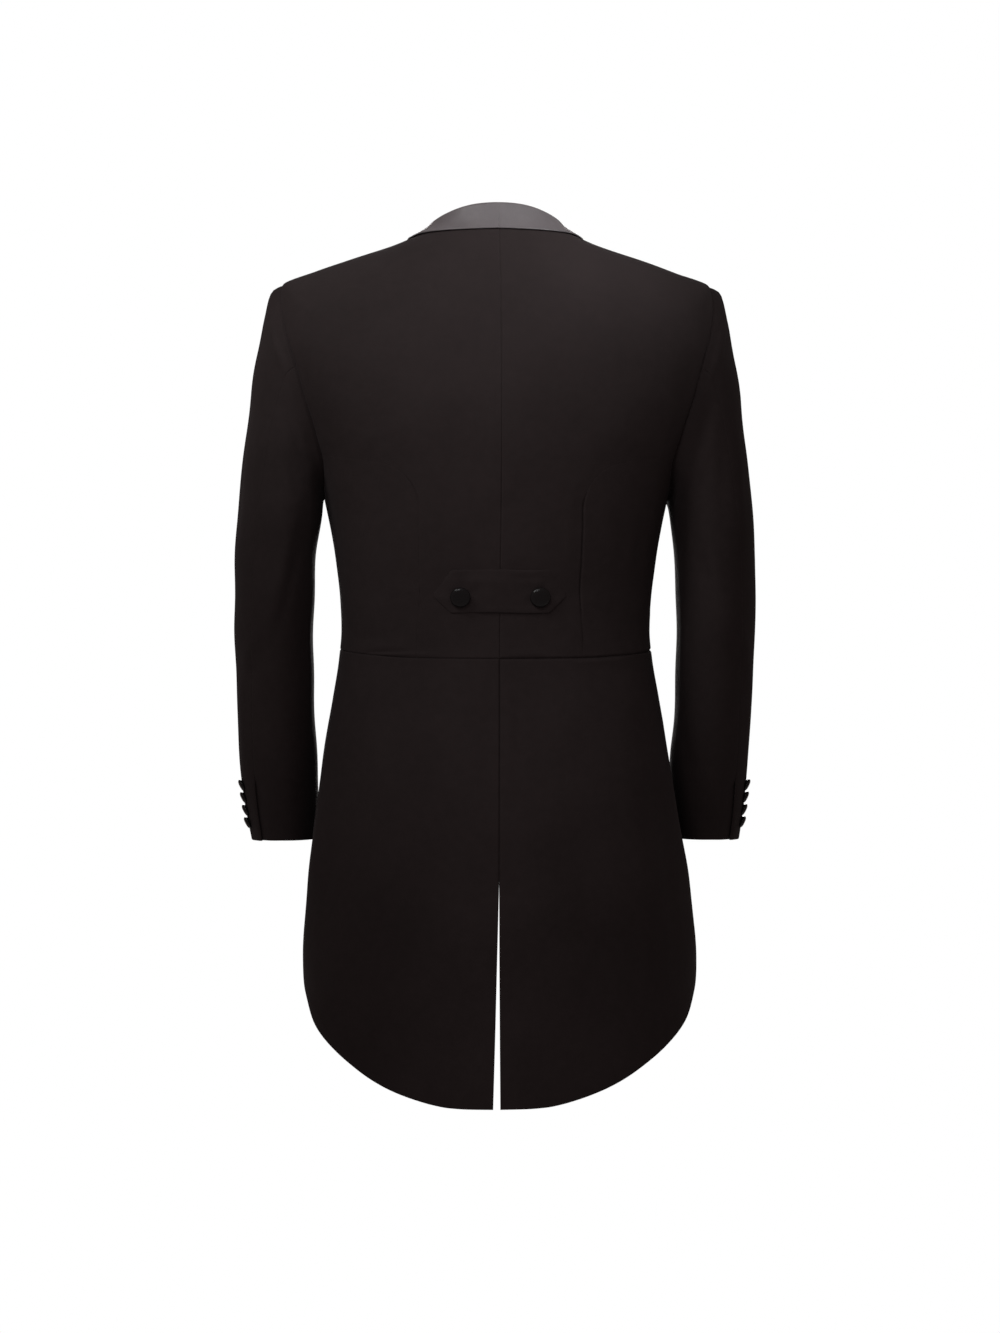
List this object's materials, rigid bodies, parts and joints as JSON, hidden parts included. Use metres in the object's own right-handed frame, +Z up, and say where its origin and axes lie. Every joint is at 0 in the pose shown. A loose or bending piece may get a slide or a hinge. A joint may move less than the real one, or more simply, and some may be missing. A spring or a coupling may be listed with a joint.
{
  "type": "tailcoat",
  "caption": "Black cutaway tailcoat filled out with no wearer: satin shawl collar, waist seam, half belt with covered buttons, open centre vent and buttoned cuffs.",
  "frame": {"origin": "centre of the neck opening at the height of the back-neck seam, where the wearer holds the coat up", "axes": "+Z up, the coat faces -Y, +X is the wearer's left"},
  "size_m": [0.5849, 0.297, 0.9973],
  "materials": {
    "wool": "fine matte black suiting with a soft sheen",
    "satin": "dark grey-mauve satin, soft gloss",
    "button_satin": "black satin drawn over the covered buttons, glossy"
  },
  "bodies": {
    "root": {"back_left": "wool", "side_left": "wool", "front_left": "wool", "skirt_left": "wool", "sleeve_top_left": "wool", "sleeve_under_left": "wool", "collar_left": "satin", "belt_button_left": "button_satin", "cuff_button_left_1": "button_satin", "cuff_button_left_2": "button_satin", "cuff_button_left_3": "button_satin", "cuff_button_left_4": "button_satin", "back_right": "wool", "side_right": "wool", "front_right": "wool", "skirt_right": "wool", "sleeve_top_right": "wool", "sleeve_under_right": "wool", "collar_right": "satin", "belt_button_right": "button_satin", "cuff_button_right_1": "button_satin", "cuff_button_right_2": "button_satin", "cuff_button_right_3": "button_satin", "cuff_button_right_4": "button_satin", "back_belt": "wool", "front_button": "button_satin"}
  },
  "joints": []
}
